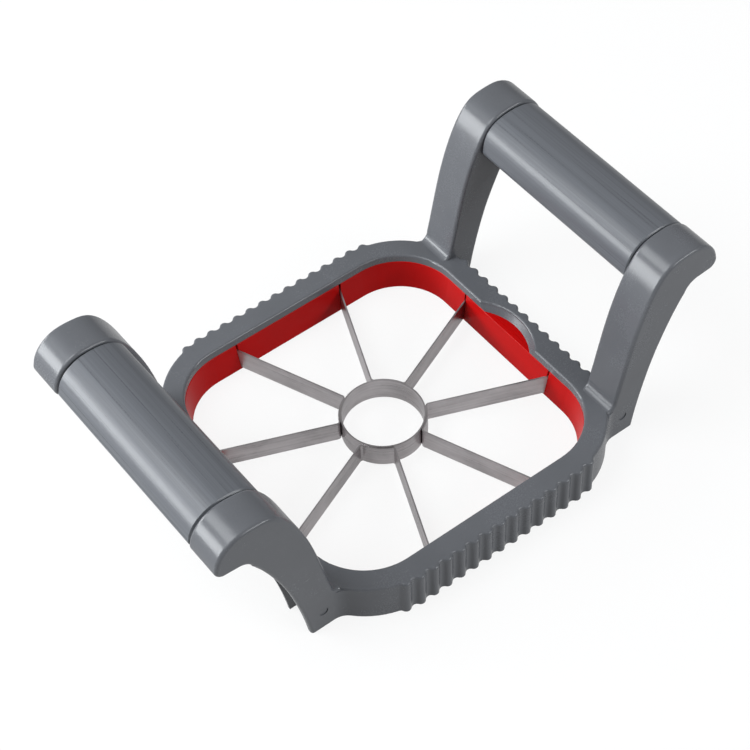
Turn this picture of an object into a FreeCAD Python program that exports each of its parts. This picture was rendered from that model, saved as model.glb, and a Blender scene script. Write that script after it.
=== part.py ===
import FreeCAD, Part
import math
import os

# All sizes are in millimetres.
# X runs from handle to handle, Y across the press and Z up.
# The origin is on the table under the middle of the core ring.

# Opening and body ring
opening_half = 49.0
opening_corner = 20.1
rim_width = 7.1
lip_depth = 2.75
lip_edge_radius = 0.8
outer_edge_radius = 0.8
channel_wall = 2.1

# Ribs on the four outer walls
rib_pitch = 4.93
rib_height = 1.2
ribs_across = 15
ribs_between_arms = 13

# Thumb scoop in the lip
scoop_reach = 4.9
scoop_half_width = 13.0
scoop_slope = 1.3
scoop_edge_radius = 0.8

# Handles
arm_outer = 45.7
arm_width = 12.6
arm_wall = 1.8
arm_edge_radius = 1.0
arm_root = 5.7
arm_neck = 3.1
foot_length = 5.1
handle_overhang = 33.0
handle_height = 66.1
corner_blend = 6.0
mark_radius = 1.5
mark_depth = 0.25
mark_out = 0.5
mark_height = 7.4

# Grips
grip_wall = 2.2
grip_seam = 0.3
grip_edge_radius = 0.5
joint_gap = 0.1
joint_drop = 9.75
crossbar_radius = 4.2
crossbar_back = 13.5
crossbar_drop = 7.5
throat_back = 9.6
throat_drop = 14.25
screw_y = 20.0
screw_radius = 1.4
screw_length = 8.0
screw_fit = 0.02
screw_hole_gap = 0.1
screw_head_radius = 2.5
screw_head_height = 1.3
screw_head_gap = 0.2
screw_slot_width = 0.8
screw_slot_depth = 0.6
boss_radius = 4.0
boss_start = 0.5

# Cartridge that carries the blades
cartridge_side_gap = 0.3
cartridge_top_gap = 0.1
cartridge_bottom = 0.4
crush_rib_radius = 1.0
crush_rib_grip = 0.2
holder_wall = 1.6
holder_draft = 1.6
holder_channel = 1.2
holder_floor = 1.3
holder_edge_radius = 0.3
retainer_height = 1.45
retainer_gap = 0.85
part_gap = 0.05
peg_room = 0.6

# Blades and core ring
blade_thickness = 0.5
blade_bottom = 0.85
blade_height = 7.6
blade_angle = 22.5
fold_radius = 1.0
end_tab_length = 5.0
end_tab_start = 0.3
edge_bevel = 0.18
slot_clearance = 0.08
ring_radius = 13.2
ring_bottom = 0.8
ring_height = 7.95
ring_gap = 0.03

# Derived sizes
retainer_bottom = blade_bottom + blade_height + retainer_gap
cartridge_top = retainer_bottom + retainer_height
channel_top = cartridge_top + cartridge_top_gap
frame_height = channel_top + lip_depth
outer_half = opening_half + rim_width
outer_corner = opening_corner + rim_width
channel_half = outer_half - channel_wall
channel_corner = outer_corner - channel_wall
side_flat = outer_half - outer_corner
arm_inner = arm_outer - arm_width
handle_reach = outer_half + handle_overhang
arm_rise = handle_height - frame_height
crossbar_x = handle_reach - crossbar_back
crossbar_z = handle_height - crossbar_drop
cartridge_half = channel_half - cartridge_side_gap
cartridge_corner = channel_corner - cartridge_side_gap
holder_back = opening_half + holder_wall
holder_back_corner = opening_corner + holder_wall
tab_bottom = cartridge_bottom + holder_floor + part_gap
tab_top = retainer_bottom - part_gap - peg_room
grip_end = arm_inner - grip_seam
up = FreeCAD.Vector(0, 0, 1)


def vec(x, y, z):
    return FreeCAD.Vector(x, y, z)


def line(start, end):
    return Part.makeLine(start, end)


def arc(start, middle, end):
    return Part.Arc(start, middle, end).toShape()


def smooth(points):
    curve = Part.BSplineCurve()
    curve.interpolate(points)
    return curve.toShape()


def rounded_square(half, corner, z):
    flat = half - corner
    middle = flat + corner * math.sqrt(0.5)
    edges = []
    for turn in range(4):
        side = line(vec(half, -flat, z), vec(half, flat, z))
        bend = arc(vec(half, flat, z), vec(middle, middle, z), vec(flat, half, z))
        for edge in (side, bend):
            edge.rotate(vec(0, 0, 0), up, 90 * turn)
            edges.append(edge)
    return Part.Wire(edges)


def block(half, corner, bottom, top):
    face = Part.Face(rounded_square(half, corner, bottom))
    return face.extrude(vec(0, 0, top - bottom))


def edges_at_height(shape, z):
    found = []
    for edge in shape.Edges:
        box = edge.BoundBox
        if abs(box.ZMin - z) < 0.01 and abs(box.ZMax - z) < 0.01:
            found.append(edge)
    return found


def opening_edges(shape, z):
    found = []
    for edge in edges_at_height(shape, z):
        box = edge.BoundBox
        reach = max(abs(box.XMin), abs(box.XMax), abs(box.YMin), abs(box.YMax))
        if reach < opening_half + lip_edge_radius:
            found.append(edge)
    return found


def ring_block(half, corner, inner_half, inner_corner, bottom, top):
    hole = block(inner_half, inner_corner, bottom - 1, top + 1)
    return block(half, corner, bottom, top).cut(hole)


# Body ring

def wall_point(distance, offset):
    past = max(0, abs(distance) - side_flat) / outer_corner
    reach = outer_corner + offset
    along = min(abs(distance), side_flat) + reach * math.sin(past)
    return vec(side_flat + reach * math.cos(past), math.copysign(along, distance), 0)


def rib_row(count):
    quarter = rib_pitch / 4
    edges = []
    for index in range(count):
        crest = (index - (count - 1) / 2) * rib_pitch
        rise = wall_point(crest - quarter, rib_height / 2)
        fall = wall_point(crest + quarter, rib_height / 2)
        edges.append(arc(rise, wall_point(crest, rib_height), fall))
        if index > 0:
            before = wall_point(crest - 3 * quarter, rib_height / 2)
            edges.append(arc(before, wall_point(crest - 2 * quarter, 0), rise))
    return edges + rib_row_end(count, -1) + rib_row_end(count, 1)


def rib_row_end(count, side):
    quarter = rib_pitch / 4
    radius = rib_pitch ** 2 / (16 * rib_height) + rib_height / 4
    end = count * rib_pitch / 2
    lean = math.asin(quarter / radius) / 2
    start = wall_point(side * (end - quarter), rib_height / 2)
    middle = wall_point(side * (end - radius * math.sin(lean)), radius * (1 - math.cos(lean)))
    edges = [arc(start, middle, wall_point(side * end, 0))]
    if end < side_flat:
        edges.append(line(wall_point(side * end, 0), wall_point(side * side_flat, 0)))
    return edges


def corner_bend(count, next_count):
    start = wall_point(max(side_flat, count * rib_pitch / 2), 0)
    end = wall_point(max(side_flat, next_count * rib_pitch / 2), 0)
    middle = side_flat + outer_corner * math.sqrt(0.5)
    return arc(start, vec(middle, middle, 0), vec(end.y, end.x, 0))


def ribbed_outline():
    counts = [ribs_between_arms, ribs_across, ribs_between_arms, ribs_across]
    edges = []
    for turn in range(4):
        side = rib_row(counts[turn]) + [corner_bend(counts[turn], counts[turn - 1])]
        for edge in side:
            edge.rotate(vec(0, 0, 0), up, 90 * turn)
            edges.append(edge)
    return Part.Wire(Part.__sortEdges__(edges))


def outer_ring():
    body = Part.Face(ribbed_outline()).extrude(vec(0, 0, frame_height))
    return body.makeFillet(outer_edge_radius, edges_at_height(body, frame_height))


def lip_cut():
    hole = block(opening_half, opening_corner, -1, frame_height + 1)
    flare = block(
        opening_half + lip_edge_radius,
        opening_corner + lip_edge_radius,
        frame_height - lip_edge_radius,
        frame_height + 1,
    )
    rim = ring_block(
        opening_half + 2 * lip_edge_radius,
        opening_corner + 2 * lip_edge_radius,
        opening_half,
        opening_corner,
        frame_height - 2 * lip_edge_radius,
        frame_height,
    )
    rounded = rim.makeFillet(lip_edge_radius, opening_edges(rim, frame_height))
    return hole.fuse(flare.cut(rounded))


def scoop_cut():
    radius = (scoop_half_width ** 2 + scoop_reach ** 2) / (2 * scoop_reach)
    edge = scoop_edge_radius
    corner = edge * (1 - math.sqrt(0.5))
    floor = vec(radius - scoop_slope, 0, channel_top)
    low = vec(radius, 0, frame_height - edge)
    middle = vec(radius + corner, 0, frame_height - corner)
    high = vec(radius + edge, 0, frame_height)
    lid = vec(radius + edge, 0, frame_height + 1)
    path = Part.makePolygon([high, lid, vec(0, 0, lid.z), vec(0, 0, floor.z), floor, low])
    face = Part.Face(Part.Wire(path.Edges + [arc(low, middle, high)]))
    bowl = face.revolve(vec(0, 0, 0), up, 360)
    bowl.translate(vec(opening_half + scoop_reach - radius, 0, 0))
    return bowl


def crush_ribs():
    posts = []
    for turn in range(4):
        for side in (-1, 1):
            post = Part.makeCylinder(crush_rib_radius, channel_top - 1)
            offset = channel_half + crush_rib_radius - crush_rib_grip
            post.translate(vec(offset, side * opening_half / 2, 1))
            post.rotate(vec(0, 0, 0), up, 90 * turn)
            posts.append(post)
    return posts


# Handles

def arm_point(along, height, y):
    return vec(outer_half + along * handle_overhang, y, frame_height + height * arm_rise)


def head_point(back, drop, y):
    return vec(handle_reach - back, y, handle_height - drop)


def arm_front(y):
    return [
        vec(outer_half - arm_neck, y, frame_height + arm_neck),
        arm_point(-0.041, 0.213, y),
        arm_point(0.015, 0.381, y),
        arm_point(0.091, 0.575, y),
        arm_point(0.188, 0.752, y),
        head_point(23.1, 5.8, y),
        head_point(18.9, 1.5, y),
        head_point(13.1, 0.15, y),
        head_point(7.9, 0.45, y),
        head_point(3.0, 3.3, y),
        head_point(0, 9.1, y),
    ]


def arm_back(y):
    return [
        head_point(11.4, 17.2, y),
        arm_point(0.549, 0.56, y),
        arm_point(0.45, 0.427, y),
        arm_point(0.365, 0.293, y),
        arm_point(0.286, 0.131, y),
        vec(outer_half + foot_length + 2.0, y, frame_height - 2.6),
        vec(outer_half + foot_length, y, 0),
    ]


def inset(points, distance):
    curve = Part.BSplineCurve()
    curve.interpolate(points)
    moved = []
    for point in points:
        along = curve.tangent(curve.parameter(point))[0]
        moved.append(point + vec(along.z, 0, -along.x) * distance)
    return moved


def arm_outline(y):
    front_points = arm_front(y)
    back_points = arm_back(y)
    neck = front_points[0]
    bottom = back_points[-1]
    root_x = outer_half - arm_root
    blend_middle = vec(outer_half - 0.68 * arm_root, y, frame_height + 0.3 * arm_neck)
    return Part.Wire([
        smooth(front_points),
        arc(front_points[-1], head_point(0.4, 12.1, y), head_point(2.3, 13.3, y)),
        line(head_point(2.3, 13.3, y), head_point(7.3, 13.7, y)),
        arc(head_point(7.3, 13.7, y), head_point(9.8, 14.8, y), back_points[0]),
        smooth(back_points),
        line(bottom, vec(root_x, y, 0)),
        line(vec(root_x, y, 0), vec(root_x, y, frame_height)),
        arc(vec(root_x, y, frame_height), blend_middle, neck),
    ])


def arm_hollow():
    y = arm_inner + arm_wall
    front = inset(arm_front(y), arm_wall)
    wall = outer_half + joint_gap
    corners = [
        front[-1],
        vec(front[-1].x, y, -1.0),
        vec(wall, y, -1.0),
        vec(wall, y, frame_height - arm_wall),
        vec(front[0].x, y, frame_height + arm_wall),
        front[0],
    ]
    path = Part.makePolygon(corners)
    face = Part.Face(Part.Wire([smooth(front)] + path.Edges))
    return face.extrude(vec(0, arm_width - 2 * arm_wall, 0))


def profile_edges(solid):
    found = []
    for edge in solid.Edges:
        box = edge.BoundBox
        in_side_face = box.YMax - box.YMin < 0.01
        above_body = box.ZMax > frame_height + 0.5
        if in_side_face and above_body:
            found.append(edge)
    return found


def arm():
    face = Part.Face(arm_outline(arm_inner))
    solid = face.extrude(vec(0, arm_width, 0))
    solid = solid.makeFillet(arm_edge_radius, profile_edges(solid))
    return solid.cut(arm_hollow())


def corner_fill():
    centre = side_flat
    across = arm_outer + corner_blend - centre
    along = math.sqrt((outer_corner + corner_blend) ** 2 - across ** 2)
    share = outer_corner / (outer_corner + corner_blend)
    blend_x = centre + along
    on_arm = vec(blend_x, arm_outer, 0)
    on_ring = vec(centre + along * share, centre + across * share, 0)
    blend_centre = vec(blend_x, arm_outer + corner_blend, 0)
    middle = (on_arm + on_ring) * 0.5 - blend_centre
    middle.normalize()
    curve = arc(on_arm, blend_centre + middle * corner_blend, on_ring)
    inside = vec(on_ring.x, arm_outer - 1, 0)
    corner = vec(on_arm.x, arm_outer - 1, 0)
    sides = [curve, line(on_ring, inside), line(inside, corner), line(corner, on_arm)]
    fill = Part.Face(Part.Wire(sides)).extrude(vec(0, 0, frame_height - outer_edge_radius))
    return fill


def foot_mark():
    mark = Part.makeCylinder(mark_radius, mark_depth + 1, vec(0, 0, 0), vec(0, 1, 0))
    mark.translate(vec(outer_half + mark_out, arm_outer - mark_depth, mark_height))
    return mark


def crossbar():
    length = 2 * (arm_inner + arm_wall)
    start = vec(crossbar_x, -length / 2, crossbar_z)
    return Part.makeCylinder(crossbar_radius, length, start, vec(0, 1, 0))


def four_corners(shape):
    flipped = shape.mirror(vec(0, 0, 0), vec(0, 1, 0))
    pair = [shape, flipped]
    return pair + [one.mirror(vec(0, 0, 0), vec(1, 0, 0)) for one in pair]


def both_sides(shape):
    return [shape, shape.mirror(vec(0, 0, 0), vec(1, 0, 0))]


def frame_body():
    pieces = four_corners(arm()) + four_corners(corner_fill()) + both_sides(crossbar())
    body = outer_ring().multiFuse(pieces)
    body = body.cut(lip_cut())
    body = body.cut(block(channel_half, channel_corner, -1, channel_top))
    body = body.cut(scoop_cut())
    body = body.multiFuse(crush_ribs())
    cuts = four_corners(foot_mark())
    for place in screw_places():
        cuts += both_sides(screw_bore(place, screw_radius + screw_fit))
    return body.cut(Part.makeCompound(cuts)).removeSplitter()


# Grips

def grip_outline(wall):
    y = -grip_end
    axis = vec(crossbar_x, y, crossbar_z)

    def point(back, drop):
        outer = head_point(back, drop, y)
        inward = axis - outer
        inward.normalize()
        return outer + inward * wall

    top = smooth([
        point(24.0, 11.35),
        point(23.6, 8.35),
        point(21.9, 4.5),
        point(18.7, 1.9),
        point(13.7, 0.6),
        point(8.3, 0.9),
        point(3.8, 3.15),
        point(1.1, 6.75),
        point(0.4, 9.35),
    ])
    nose = arc(point(0.4, 9.35), point(0.8, 12.05), point(2.7, 12.85))
    under = line(point(2.7, 12.85), point(7.1, 13.15))
    throat = arc(point(7.1, 13.15), point(throat_back, throat_drop), point(11.2, 16.35))
    back = line(point(11.2, 16.35), point(14.0, 20.55))
    tip = arc(point(14.0, 20.55), point(16.1, 21.95), point(18.4, 20.85))
    front = line(point(18.4, 20.85), point(23.4, 13.15))
    brow = arc(point(23.4, 13.15), point(23.85, 12.25), point(24.0, 11.35))
    return Part.Wire([top, nose, under, throat, back, tip, front, brow])


def grip_tube():
    length = vec(0, 2 * grip_end, 0)
    tube = Part.Face(grip_outline(0)).extrude(length)
    tube = tube.makeChamfer(grip_edge_radius, end_edges(tube))
    return tube.cut(Part.Face(grip_outline(grip_wall)).extrude(length))


def end_edges(solid):
    found = []
    for edge in solid.Edges:
        box = edge.BoundBox
        if box.YMax - box.YMin < 0.01:
            found.append(edge)
    return found


def below_joint(clearance):
    y = -arm_inner
    low = head_point(23.1, joint_drop + 10.7 - 1.4 * clearance, y)
    bend = head_point(12.1, joint_drop - clearance, y)
    end = head_point(-3.0, joint_drop - clearance, y)
    floor_z = low.z - 6
    corners = [low, bend, end, vec(end.x, y, floor_z), vec(low.x, y, floor_z), low]
    face = Part.Face(Part.makePolygon(corners))
    return face.extrude(vec(0, 2 * arm_inner, 0))


def screw_axis():
    surface = head_point(throat_back, throat_drop, 0)
    axis = vec(crossbar_x, 0, crossbar_z) - surface
    axis.normalize()
    return surface, axis


def screw_places():
    return [-screw_y, screw_y]


def screw_bore(y, radius):
    surface, axis = screw_axis()
    start = surface + vec(0, y, 0)
    return Part.makeCylinder(radius, screw_length + joint_gap, start, axis)


def screw(y):
    surface, axis = screw_axis()
    seat = surface + vec(0, y, 0) + axis * screw_head_height
    head = Part.makeCylinder(screw_head_radius, screw_head_height, seat, axis * -1)
    shank = Part.makeCylinder(screw_radius, screw_length - screw_head_height, seat, axis)
    slot = Part.makeBox(screw_head_radius * 3, screw_slot_width, screw_slot_depth)
    slot.translate(vec(-screw_head_radius * 1.5, -screw_slot_width / 2, -screw_slot_depth))
    slot.Placement = FreeCAD.Placement(
        surface + vec(0, y, 0),
        FreeCAD.Rotation(up, axis * -1),
    ).multiply(slot.Placement)
    return head.fuse(shank).cut(slot)


def crossbar_bore():
    start = vec(crossbar_x, -arm_inner, crossbar_z)
    return Part.makeCylinder(crossbar_radius + joint_gap, 2 * arm_inner, start, vec(0, 1, 0))


def grip_shell():
    return grip_tube().cut(below_joint(joint_gap / 2)).cut(crossbar_bore())


def grip_cover():
    cover = grip_tube().common(below_joint(-joint_gap / 2))
    surface, axis = screw_axis()
    start = surface + axis * boss_start
    reach = (vec(crossbar_x, 0, crossbar_z) - start).Length - crossbar_radius - joint_gap
    pieces = []
    for y in screw_places():
        pieces.append(Part.makeCylinder(boss_radius, reach, start + vec(0, y, 0), axis))
    cover = cover.multiFuse(pieces)
    holes = [crossbar_bore()]
    for y in screw_places():
        seat = surface + vec(0, y, 0) + axis * screw_head_height
        holes.append(Part.makeCylinder(screw_head_radius + screw_head_gap, 5, seat, axis * -1))
        holes.append(screw_bore(y, screw_radius + screw_hole_gap))
    return cover.cut(Part.makeCompound(holes)).removeSplitter()


# Blades

def spoke_end(angle):
    return (holder_back + part_gap + blade_thickness / 2) / math.cos(math.radians(angle))


def polar(radius, angle):
    return vec(radius * math.cos(math.radians(angle)), radius * math.sin(math.radians(angle)), 0)


def strip_side(offset):
    band = ring_radius + ring_gap + blade_thickness / 2
    reach = math.sqrt((band + fold_radius) ** 2 - fold_radius ** 2)
    turn = math.degrees(math.asin(fold_radius / (band + fold_radius)))
    along = polar(1, blade_angle)
    across = polar(1, blade_angle + 90)
    far = along * spoke_end(blade_angle) + across * offset
    near = along * reach + across * offset
    centre = polar(band + fold_radius, blade_angle + turn)
    start = near
    end = polar(band + offset, blade_angle + turn)
    middle = (start + end) * 0.5 - centre
    middle.normalize()
    middle = centre + middle * (fold_radius - offset)
    return far, start, middle, end, band + offset, turn


def strip_pattern():
    low = strip_side(-blade_thickness / 2)
    high = strip_side(blade_thickness / 2)
    edges = []
    for far, start, middle, end, radius, turn in (low, high):
        half = [line(far, start), arc(start, middle, end)]
        other = [edge.mirror(vec(0, 0, 0), vec(1, -1, 0)) for edge in half]
        hug = arc(end, polar(radius, 45), polar(radius, 90 - blade_angle - turn))
        edges += half + other + [hug]
    edges.append(line(low[0], high[0]))
    edges.append(line(low[0], high[0]).mirror(vec(0, 0, 0), vec(1, -1, 0)))
    wire = Part.Wire(Part.__sortEdges__(edges))
    return Part.Face(wire)


def tab_start():
    return (holder_back + part_gap) * math.tan(math.radians(blade_angle)) - end_tab_start


def end_tab():
    tab = Part.makeBox(blade_thickness, end_tab_length, tab_top - tab_bottom)
    tab.translate(vec(holder_back + part_gap, tab_start(), tab_bottom))
    return tab


def long_edges(strip):
    return [edge for edge in edges_at_height(strip, blade_bottom) if edge.Length > fold_radius]


def blade_strip(turn):
    strip = strip_pattern()
    strip.translate(vec(0, 0, blade_bottom))
    strip = strip.extrude(vec(0, 0, blade_height))
    strip = strip.makeChamfer(edge_bevel, long_edges(strip))
    behind = block(cartridge_half, cartridge_corner, 0, tab_bottom)
    behind = behind.cut(block(holder_back, holder_back_corner, -1, tab_bottom + 1))
    strip = strip.cut(behind)
    tabs = [end_tab(), end_tab().mirror(vec(0, 0, 0), vec(1, -1, 0))]
    strip = strip.multiFuse(tabs)
    strip.rotate(vec(0, 0, 0), up, turn)
    return strip.removeSplitter()


def core_ring():
    outer = Part.makeCylinder(ring_radius, ring_height)
    outer = outer.makeChamfer(2 * edge_bevel, edges_at_height(outer, 0))
    ring = outer.cut(Part.makeCylinder(ring_radius - blade_thickness, ring_height))
    ring.translate(vec(0, 0, ring_bottom))
    return ring


# Cartridge

def blade_slots():
    width = blade_thickness + 2 * slot_clearance
    bottom = blade_bottom - slot_clearance
    start = opening_half - holder_draft
    slots = []
    for index in range(8):
        slot = Part.makeBox(spoke_end(blade_angle) + 1 - start, width, cartridge_top + 1 - bottom)
        slot.translate(vec(start, -width / 2, bottom))
        slot.rotate(vec(0, 0, 0), up, blade_angle + 45 * index)
        slots.append(slot)
    keep = block(holder_back + part_gap, holder_back_corner + part_gap, -1, cartridge_top + 2)
    return Part.makeCompound(slots).common(keep)


def blade_holder():
    top_wire = rounded_square(opening_half, opening_corner, cartridge_top + 1)
    bottom_wire = rounded_square(
        opening_half - holder_draft, opening_corner - holder_draft, cartridge_bottom - 1)
    hole = Part.makeLoft([bottom_wire, top_wire], True, True)
    body = block(cartridge_half, cartridge_corner, cartridge_bottom, cartridge_top).cut(hole)
    body = body.makeFillet(holder_edge_radius, opening_edges(body, cartridge_top))
    channel = ring_block(
        holder_back + holder_channel,
        holder_back_corner + holder_channel,
        holder_back,
        holder_back_corner,
        cartridge_bottom + holder_floor,
        cartridge_top + 1,
    )
    step = ring_block(
        cartridge_half + 1,
        cartridge_corner + 1,
        holder_back,
        holder_back_corner,
        retainer_bottom - part_gap,
        cartridge_top + 1,
    )
    body = body.cut(channel).cut(step)
    return body.cut(blade_slots()).removeSplitter()


def blade_retainer():
    inner = holder_back + part_gap
    ring = ring_block(
        cartridge_half,
        cartridge_corner,
        inner,
        holder_back_corner + part_gap,
        retainer_bottom,
        cartridge_top,
    )
    width = holder_channel - 2 * part_gap
    pegs = []
    for index in range(4):
        for side in (-1, 1):
            peg = Part.makeBox(width, end_tab_length, peg_room + retainer_height / 2)
            peg.translate(vec(inner, tab_start(), tab_top + part_gap))
            if side < 0:
                peg = peg.mirror(vec(0, 0, 0), vec(0, 1, 0))
            peg.rotate(vec(0, 0, 0), up, 90 * index)
            pegs.append(peg)
    return ring.multiFuse(pegs).removeSplitter()


def mirrored(shape):
    return shape.mirror(vec(0, 0, 0), vec(1, 0, 0))


def save(shape, name):
    shape.exportStep("parts/" + name + ".step")


os.makedirs("parts", exist_ok=True)
save(frame_body(), "frame_body")
shell = grip_shell()
cover = grip_cover()
screws = Part.makeCompound([screw(y) for y in screw_places()])
save(shell, "right_grip_shell")
save(mirrored(shell), "left_grip_shell")
save(cover, "right_grip_cover")
save(mirrored(cover), "left_grip_cover")
save(screws, "right_grip_screws")
save(mirrored(screws), "left_grip_screws")
save(blade_holder(), "blade_holder")
save(blade_retainer(), "blade_retainer")
save(core_ring(), "core_ring")
save(blade_strip(0), "blade_far_right")
save(blade_strip(90), "blade_far_left")
save(blade_strip(180), "blade_near_left")
save(blade_strip(270), "blade_near_right")
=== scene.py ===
import math

import bpy
from bpy.props import FloatProperty, FloatVectorProperty, PointerProperty
from mathutils import Matrix, Vector

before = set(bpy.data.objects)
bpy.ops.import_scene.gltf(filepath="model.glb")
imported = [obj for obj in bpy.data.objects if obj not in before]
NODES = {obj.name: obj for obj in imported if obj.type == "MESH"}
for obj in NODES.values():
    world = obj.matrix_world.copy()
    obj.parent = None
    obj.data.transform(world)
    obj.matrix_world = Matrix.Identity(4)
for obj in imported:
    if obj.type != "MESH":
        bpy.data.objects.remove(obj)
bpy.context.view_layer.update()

bl_info = {
    "name": "Fruit wedger press",
    "version": (1, 0, 0),
    "blender": (4, 5, 0),
    "location": "3D View > Sidebar > Wedger",
    "description": "Finishes and stage for a hand press that cuts fruit into wedges",
    "category": "Object",
}

# Pieces that share a finish
GRIP_PIECES = ["right_grip_shell", "left_grip_shell", "right_grip_cover", "left_grip_cover"]
CARTRIDGE_PIECES = ["blade_holder", "blade_retainer"]
STRIP_PIECES = [
    "blade_far_right", "blade_far_left", "blade_near_left", "blade_near_right", "core_ring"]
SCREW_PIECES = ["right_grip_screws", "left_grip_screws"]

# Grain of the finishes, in noise cells per metre along X, Y and Z
SPARK = (2600.0, 2600.0, 2600.0)
CLOUD = (60.0, 60.0, 60.0)
SCUFF = (240.0, 1500.0, 900.0)
GRIP_LINES = (2400.0, 16.0, 2400.0)
GRIP_BANDS = (620.0, 6.0, 620.0)
STRIP_LINES = (30.0, 30.0, 2400.0)
SCREW_GRAIN = (900.0, 900.0, 900.0)
STAINS = (55.0, 55.0, 90.0)
FLOOR_GRAIN = (30.0, 30.0, 30.0)

# Height of the grain, in metres
FRAME_GRAIN_HEIGHT = 0.00004
CARTRIDGE_GRAIN_HEIGHT = 0.00003
GRIP_LINE_HEIGHT = 0.00006
STEEL_LINE_HEIGHT = 0.00003

# Gloss of the plastics and the screws
PLASTIC_IOR = 1.49
FRAME_GLOSS = 0.4
CARTRIDGE_GLOSS = 0.15
FRAME_COAT = 0.22
BARE = 0.0
COAT_ROUGHNESS = 0.14
SCREW_SHADE = 0.8
SCREW_ROUGHNESS = 0.3

# Floor, in metres where it is a length
FLOOR_HALF = 6.0
FLOOR_DROP = 0.0002
FLOOR_ROUGHNESS = 0.9
BOUNCE_DARK = (0.34, 0.34, 0.34)
BOUNCE_PALE = (0.36, 0.36, 0.36)
FLOOR_SEEN = (0.92, 0.92, 0.92)
GLOW_IN_GLOSS = 0.40
GLOW_IN_GLASS = 0.88
CLEAR_AT_PRESS = 0.86
CLEAR_GAIN = 0.14
CLEAR_FROM = 0.35
CLEAR_FULL = 0.9

# Sky, which is paler above than below
SKY_LOW = 0.55
SKY_GAIN = 0.6
SKY_FROM = -0.1
SKY_FULL = 0.9
WHITE = (1, 1, 1, 1)

# Place and size of each lamp, in metres
LAMP_TARGET = (0.0, 0.0, 0.03)
LAMP_COLOR = (0.95, 0.98, 1.0)
KEY_PLACE = (-0.42, 0.2, 0.72)
KEY_SIZE = (0.5, 0.5)
LEFT_CARD_PLACE = (-0.66, 0.55, 0.26)
LEFT_CARD_SIZE = (0.9, 0.35)
FRONT_CARD_PLACE = (0.42, -0.8, 0.5)
FRONT_CARD_SIZE = (0.7, 0.3)

# Camera at the photograph's viewing angle, in metres and degrees
CAMERA_PLACE = (-0.23407, -0.32139, 0.51084)
CAMERA_TURN = -34.166
CAMERA_RISE = 50.544
CAMERA_ROLL = -3.551
CAMERA_SHIFT_X = 0.0501
CAMERA_SHIFT_Y = 0.0007
CAMERA_CLIP_START = 0.01
SENSOR_WIDTH = 36.0


# Shader helpers

class Socket:
    """A shader value that can be used in a Python expression."""

    def __init__(self, maker, link):
        self.maker = maker
        self.link = link

    def math(self, operation, first, second):
        return self.maker.node("ShaderNodeMath", {"operation": operation}, {0: first, 1: second})

    def __add__(self, other):
        return self.math("ADD", self, other)

    def __radd__(self, other):
        return self.math("ADD", other, self)

    def __sub__(self, other):
        return self.math("SUBTRACT", self, other)

    def __rsub__(self, other):
        return self.math("SUBTRACT", other, self)

    def __mul__(self, other):
        return self.math("MULTIPLY", self, other)

    def __rmul__(self, other):
        return self.math("MULTIPLY", other, self)

    def larger(self, other):
        return self.math("MAXIMUM", self, other)

    def step(self, low, high):
        return self.maker.node(
            "ShaderNodeMapRange",
            {"interpolation_type": "SMOOTHSTEP"},
            {"Value": self, "From Min": low, "From Max": high},
            output="Result",
        )


class NodeMaker:
    """The node tree of a material or a sky, with the one method that adds its nodes."""

    def __init__(self, tree, output_kind):
        self.tree = tree
        self.tree.nodes.clear()
        self.output = self.tree.nodes.new(output_kind)

    def node(self, kind, settings=None, inputs=None, output=0):
        node = self.tree.nodes.new(kind)
        for name, value in (settings or {}).items():
            setattr(node, name, value)
        for name, value in (inputs or {}).items():
            if isinstance(value, Socket):
                self.tree.links.new(value.link, node.inputs[name])
            else:
                node.inputs[name].default_value = value
        return Socket(self, node.outputs[output])

    def light_path(self, kind):
        return self.node("ShaderNodeLightPath", output=kind)

    def show(self, shader):
        self.tree.links.new(shader.link, self.output.inputs["Surface"])


class Finish(NodeMaker):
    """A procedural material."""

    def __init__(self, name):
        self.material = bpy.data.materials.new(name)
        self.material.use_nodes = True
        super().__init__(self.material.node_tree, "ShaderNodeOutputMaterial")

    def place(self):
        return self.node("ShaderNodeTexCoord", output="Object")

    def noise(self, cells, detail=3.0, roughness=0.55):
        where = self.node(
            "ShaderNodeVectorMath", {"operation": "MULTIPLY"}, {0: self.place(), 1: cells})
        return self.node(
            "ShaderNodeTexNoise",
            inputs={"Vector": where, "Scale": 1.0, "Detail": detail, "Roughness": roughness},
        )

    def tint(self, amount, low, high):
        return self.node(
            "ShaderNodeMix",
            {"data_type": "RGBA"},
            {0: amount, 6: opaque(low), 7: opaque(high)},
            output=2,
        )

    def bump(self, height, distance, strength):
        return self.node(
            "ShaderNodeBump",
            inputs={"Height": height, "Distance": distance, "Strength": strength},
        )

    def mix(self, share, first, second):
        return self.node("ShaderNodeMixShader", inputs={0: share, 1: first, 2: second})

    def principled(self, **inputs):
        named = {key.replace("_", " "): value for key, value in inputs.items()}
        return self.node("ShaderNodeBsdfPrincipled", inputs=named)


def opaque(color):
    """Give a plain colour its alpha, and leave a linked one alone."""
    return color if isinstance(color, Socket) else (*color, 1.0)


def shade(color, factor):
    """Make a plain colour darker or paler."""
    return tuple(min(1.0, part * factor) for part in color)


# Finishes

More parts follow.
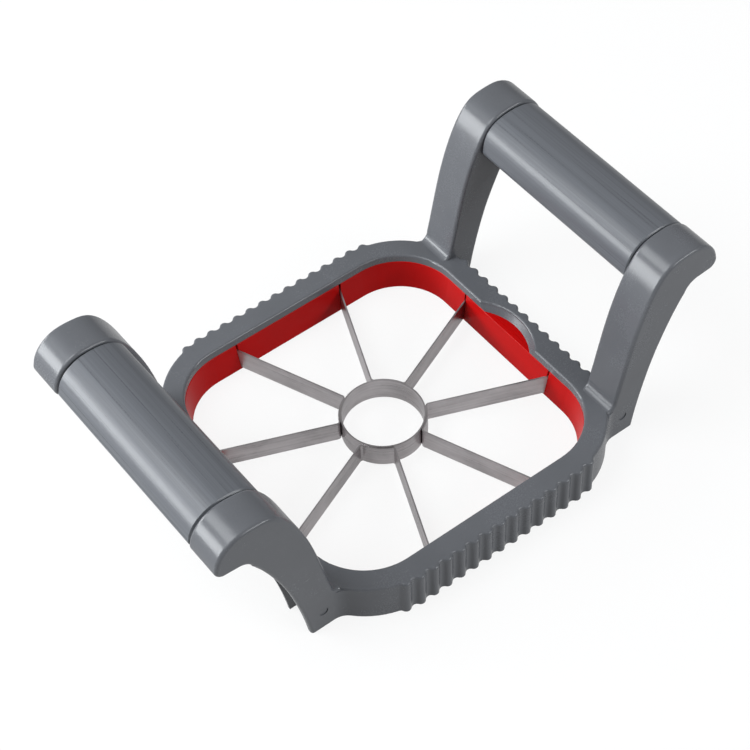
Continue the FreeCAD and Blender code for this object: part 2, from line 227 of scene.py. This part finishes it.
def moulded_plastic(name, color, roughness, grain_height, gloss, coat):
    """Satin moulded plastic: fine spark grain, soft tone shifts and faint scuffs."""
    finish = Finish(name)
    cloud = finish.noise(CLOUD, detail=4.0)
    spark = finish.noise(SPARK, detail=2.0)
    scuff = finish.noise(SCUFF, detail=4.0, roughness=0.7).step(0.62, 0.78)
    tone = (cloud * 0.7 + spark * 0.3).step(0.25, 0.75)
    finish.show(finish.principled(
        Base_Color=finish.tint(tone, shade(color, 0.93), shade(color, 1.07)),
        Roughness=roughness + (cloud - 0.5) * 0.10 + (spark - 0.5) * 0.06 + scuff * 0.03,
        IOR=PLASTIC_IOR,
        Specular_IOR_Level=gloss,
        Coat_Weight=coat,
        Coat_Roughness=COAT_ROUGHNESS,
        Normal=finish.bump(spark * 0.8 + cloud * 0.2, grain_height, strength=0.35),
    ))
    return finish.material


def streaked_plastic(name, color, roughness):
    """Plastic drawn along the grip, with long fine lines in tone, gloss and height."""
    finish = Finish(name)
    fine = finish.noise(GRIP_LINES, detail=3.0, roughness=0.6)
    broad = finish.noise(GRIP_BANDS, detail=2.0, roughness=0.5)
    spark = finish.noise(SPARK, detail=1.0)
    line = fine * 0.6 + broad * 0.4
    tone = line.step(0.32, 0.68)
    finish.show(finish.principled(
        Base_Color=finish.tint(tone, shade(color, 0.86), shade(color, 1.14)),
        Roughness=roughness + (line - 0.5) * 0.30 + (spark - 0.5) * 0.05,
        IOR=PLASTIC_IOR,
        Normal=finish.bump(line * 0.85 + spark * 0.15, GRIP_LINE_HEIGHT, strength=0.6),
    ))
    return finish.material


def drawn_steel(name, color, roughness, line_cells):
    """Stainless steel with fine lines or grain and a few faint stains."""
    finish = Finish(name)
    fine = finish.noise(line_cells, detail=3.0, roughness=0.6)
    cloud = finish.noise(STAINS, detail=4.0, roughness=0.6)
    tone = (fine * 0.4 + cloud * 0.6).step(0.3, 0.7)
    finish.show(finish.principled(
        Base_Color=finish.tint(tone, shade(color, 0.62), shade(color, 1.08)),
        Metallic=1.0,
        Roughness=roughness + (fine - 0.5) * 0.16 + (cloud - 0.5) * 0.12,
        Normal=finish.bump(fine, STEEL_LINE_HEIGHT, strength=0.5),
    ))
    return finish.material


def pale_floor():
    """Pale floor that takes the shadow and lets the camera see the white sky behind it.

    The camera also sees a piece that hangs below the floor, such as the released cartridge.
    """
    finish = Finish("floor_white")
    camera = finish.light_path("Is Camera Ray")
    glossy = finish.light_path("Is Glossy Ray")
    passing = finish.light_path("Is Transmission Ray")
    underside = finish.node("ShaderNodeNewGeometry", output="Backfacing")
    bounce = finish.tint(finish.noise(FLOOR_GRAIN), BOUNCE_DARK, BOUNCE_PALE)
    lit = finish.principled(
        Base_Color=finish.tint(camera, bounce, FLOOR_SEEN),
        Roughness=FLOOR_ROUGHNESS,
        Specular_IOR_Level=0.0,
    )
    glow = finish.node("ShaderNodeEmission", inputs={"Color": WHITE, "Strength": 1.0})
    solid = finish.mix(passing * GLOW_IN_GLASS + glossy * GLOW_IN_GLOSS, lit, glow)
    distance = finish.node(
        "ShaderNodeVectorMath", {"operation": "LENGTH"}, {0: finish.place()}, output="Value")
    clear = camera * (distance.step(CLEAR_FROM, CLEAR_FULL) * CLEAR_GAIN + CLEAR_AT_PRESS)
    window = finish.node("ShaderNodeBsdfTransparent", inputs={"Color": WHITE})
    finish.show(finish.mix(clear.larger(underside), solid, window))
    return finish.material


def paint(names, material):
    """Give every slot of the named pieces one material."""
    for name in names:
        for place in NODES[name].material_slots:
            place.material = material


# Settings

class PlasticSettings(bpy.types.PropertyGroup):
    """Colours and gloss of the moulded pieces."""

    frame_color: FloatVectorProperty(
        name="Frame colour", description="Colour of the ring, arms and heads",
        subtype="COLOR", size=3, min=0.0, max=1.0, default=(0.113, 0.118, 0.130))
    frame_roughness: FloatProperty(
        name="Frame roughness", description="Roughness of the moulded frame",
        default=0.26, min=0.0, max=1.0, subtype="FACTOR")
    grip_color: FloatVectorProperty(
        name="Grip colour", description="Colour of the bars between the heads",
        subtype="COLOR", size=3, min=0.0, max=1.0, default=(0.113, 0.120, 0.134))
    grip_roughness: FloatProperty(
        name="Grip roughness", description="Roughness of the streaked bars",
        default=0.31, min=0.0, max=1.0, subtype="FACTOR")
    cartridge_color: FloatVectorProperty(
        name="Cartridge colour", description="Colour of the blade cartridge",
        subtype="COLOR", size=3, min=0.0, max=1.0, default=(0.48, 0.001, 0.001))
    cartridge_roughness: FloatProperty(
        name="Cartridge roughness", description="Roughness of the blade cartridge",
        default=0.33, min=0.0, max=1.0, subtype="FACTOR")


class SteelSettings(bpy.types.PropertyGroup):
    """Colour and gloss of the steel pieces."""

    color: FloatVectorProperty(
        name="Steel colour", description="Colour of the blades and the core ring",
        subtype="COLOR", size=3, min=0.0, max=1.0, default=(0.58, 0.55, 0.56))
    roughness: FloatProperty(
        name="Steel roughness", description="Roughness of the blades and the core ring",
        default=0.30, min=0.0, max=1.0, subtype="FACTOR")


class StageSettings(bpy.types.PropertyGroup):
    """Light level and lens of the stage."""

    sky: FloatProperty(
        name="Sky light", description="Strength of the even light from all round",
        default=0.34, min=0.0, max=3.0)
    key: FloatProperty(
        name="Key light", description="Power of the large soft lamp",
        default=4.0, min=0.0, max=100.0, unit="POWER")
    card: FloatProperty(
        name="Left card", description="Power of the low card on the left",
        default=9.4, min=0.0, max=100.0, unit="POWER")
    fill: FloatProperty(
        name="Front card", description="Power of the card in front",
        default=5.0, min=0.0, max=100.0, unit="POWER")
    lens: FloatProperty(
        name="Lens", description="Focal length of the camera",
        default=100.67, min=10.0, max=300.0, unit="CAMERA")


# Operators

class WEDGER_OT_frame(bpy.types.Operator):
    """Finish the moulded frame with its ring, arms and heads."""

    bl_idname = "wedger.frame"
    bl_label = "Frame"

    def execute(self, context):
        settings = context.scene.wedger_plastic
        material = moulded_plastic(
            "frame_plastic", tuple(settings.frame_color), settings.frame_roughness,
            FRAME_GRAIN_HEIGHT, FRAME_GLOSS, FRAME_COAT)
        paint(["frame_body"], material)
        return {"FINISHED"}


class WEDGER_OT_grips(bpy.types.Operator):
    """Finish the grip shells and the covers under them."""

    bl_idname = "wedger.grips"
    bl_label = "Grips"

    def execute(self, context):
        settings = context.scene.wedger_plastic
        material = streaked_plastic(
            "grip_plastic", tuple(settings.grip_color), settings.grip_roughness)
        paint(GRIP_PIECES, material)
        return {"FINISHED"}


class WEDGER_OT_cartridge(bpy.types.Operator):
    """Finish the blade holder and the retainer ring on it."""

    bl_idname = "wedger.cartridge"
    bl_label = "Cartridge"

    def execute(self, context):
        settings = context.scene.wedger_plastic
        material = moulded_plastic(
            "cartridge_plastic", tuple(settings.cartridge_color), settings.cartridge_roughness,
            CARTRIDGE_GRAIN_HEIGHT, CARTRIDGE_GLOSS, BARE)
        paint(CARTRIDGE_PIECES, material)
        return {"FINISHED"}


class WEDGER_OT_steel(bpy.types.Operator):
    """Finish the blades, the core ring and the screws."""

    bl_idname = "wedger.steel"
    bl_label = "Steel pieces"

    def execute(self, context):
        settings = context.scene.wedger_steel
        color = tuple(settings.color)
        strip = drawn_steel("blade_steel", color, settings.roughness, STRIP_LINES)
        screw = drawn_steel(
            "screw_steel", shade(color, SCREW_SHADE), SCREW_ROUGHNESS, SCREW_GRAIN)
        paint(STRIP_PIECES, strip)
        paint(SCREW_PIECES, screw)
        return {"FINISHED"}


class WEDGER_OT_stage(bpy.types.Operator):
    """Make the floor, the lights, the sky and the camera."""

    bl_idname = "wedger.stage"
    bl_label = "Stage"

    def execute(self, context):
        scene = context.scene
        settings = scene.wedger_stage
        self.make_floor(scene)
        self.make_sky(scene, settings.sky)
        self.make_lamp(scene, "key_lamp", KEY_PLACE, KEY_SIZE, settings.key)
        self.make_lamp(scene, "left_card", LEFT_CARD_PLACE, LEFT_CARD_SIZE, settings.card)
        self.make_lamp(scene, "front_card", FRONT_CARD_PLACE, FRONT_CARD_SIZE, settings.fill)
        self.make_camera(scene, settings.lens)
        scene.view_settings.view_transform = "Standard"
        return {"FINISHED"}

    def make_floor(self, scene):
        mesh = bpy.data.meshes.new("floor")
        corners = [(-FLOOR_HALF, -FLOOR_HALF, 0), (FLOOR_HALF, -FLOOR_HALF, 0),
                   (FLOOR_HALF, FLOOR_HALF, 0), (-FLOOR_HALF, FLOOR_HALF, 0)]
        mesh.from_pydata(corners, [], [(0, 1, 2, 3)])
        mesh.materials.append(pale_floor())
        floor = bpy.data.objects.new("floor", mesh)
        floor.location.z = -FLOOR_DROP
        scene.collection.objects.link(floor)

    def make_sky(self, scene, strength):
        scene.world = bpy.data.worlds.new("studio_sky")
        scene.world.use_nodes = True
        sky = NodeMaker(scene.world.node_tree, "ShaderNodeOutputWorld")
        where = sky.node("ShaderNodeTexCoord", output="Generated")
        height = sky.node("ShaderNodeSeparateXYZ", inputs={0: where}, output="Z")
        level = (height.step(SKY_FROM, SKY_FULL) * SKY_GAIN + SKY_LOW) * strength
        seen = sky.light_path("Is Camera Ray") + sky.light_path("Is Transmission Ray")
        level = level + seen * (1.0 - level)
        sky.show(sky.node("ShaderNodeBackground", inputs={"Color": WHITE, "Strength": level}))

    def make_lamp(self, scene, name, place, size, power):
        light = bpy.data.lights.new(name, "AREA")
        light.shape = "RECTANGLE"
        light.size, light.size_y = size
        light.energy = power
        light.color = LAMP_COLOR
        lamp = bpy.data.objects.new(name, light)
        lamp.location = place
        aim = Vector(LAMP_TARGET) - Vector(place)
        lamp.rotation_euler = aim.to_track_quat("-Z", "Y").to_euler()
        scene.collection.objects.link(lamp)

    def make_camera(self, scene, lens):
        data = bpy.data.cameras.new("view_camera")
        data.sensor_width = SENSOR_WIDTH
        data.lens = lens
        data.shift_x = CAMERA_SHIFT_X
        data.shift_y = CAMERA_SHIFT_Y
        data.clip_start = CAMERA_CLIP_START
        turn = math.radians(CAMERA_TURN)
        rise = math.radians(CAMERA_RISE)
        roll = math.radians(CAMERA_ROLL)
        back = Vector((math.sin(turn) * math.cos(rise),
                       -math.cos(turn) * math.cos(rise), math.sin(rise)))
        level_side = Vector((0, 0, 1)).cross(back).normalized()
        level_top = back.cross(level_side)
        side = math.cos(roll) * level_side + math.sin(roll) * level_top
        top = -math.sin(roll) * level_side + math.cos(roll) * level_top
        pose = Matrix((side, top, back)).transposed().to_4x4()
        pose.translation = Vector(CAMERA_PLACE)
        camera = bpy.data.objects.new("view_camera", data)
        camera.matrix_world = pose
        scene.collection.objects.link(camera)
        scene.camera = camera


class WEDGER_PT_panel(bpy.types.Panel):
    """List the settings and the pieces of the press."""

    bl_idname = "WEDGER_PT_panel"
    bl_label = "Wedger"
    bl_space_type = "VIEW_3D"
    bl_region_type = "UI"
    bl_category = "Wedger"

    def draw(self, context):
        layout = self.layout
        for group in ("wedger_plastic", "wedger_steel", "wedger_stage"):
            settings = getattr(context.scene, group)
            box = layout.box()
            for name in settings.__annotations__:
                box.prop(settings, name)
        for operator in OPERATORS:
            layout.operator(operator.bl_idname)


OPERATORS = [
    WEDGER_OT_frame, WEDGER_OT_grips, WEDGER_OT_cartridge, WEDGER_OT_steel, WEDGER_OT_stage]
CLASSES = [PlasticSettings, SteelSettings, StageSettings] + OPERATORS + [WEDGER_PT_panel]


def register():
    for kind in CLASSES:
        bpy.utils.register_class(kind)
    bpy.types.Scene.wedger_plastic = PointerProperty(type=PlasticSettings)
    bpy.types.Scene.wedger_steel = PointerProperty(type=SteelSettings)
    bpy.types.Scene.wedger_stage = PointerProperty(type=StageSettings)


def unregister():
    del bpy.types.Scene.wedger_stage
    del bpy.types.Scene.wedger_steel
    del bpy.types.Scene.wedger_plastic
    for kind in reversed(CLASSES):
        bpy.utils.unregister_class(kind)


def main():
    register()
    bpy.ops.wedger.frame()
    bpy.ops.wedger.grips()
    bpy.ops.wedger.cartridge()
    bpy.ops.wedger.steel()
    bpy.ops.wedger.stage()


if __name__ == "__main__":
    main()
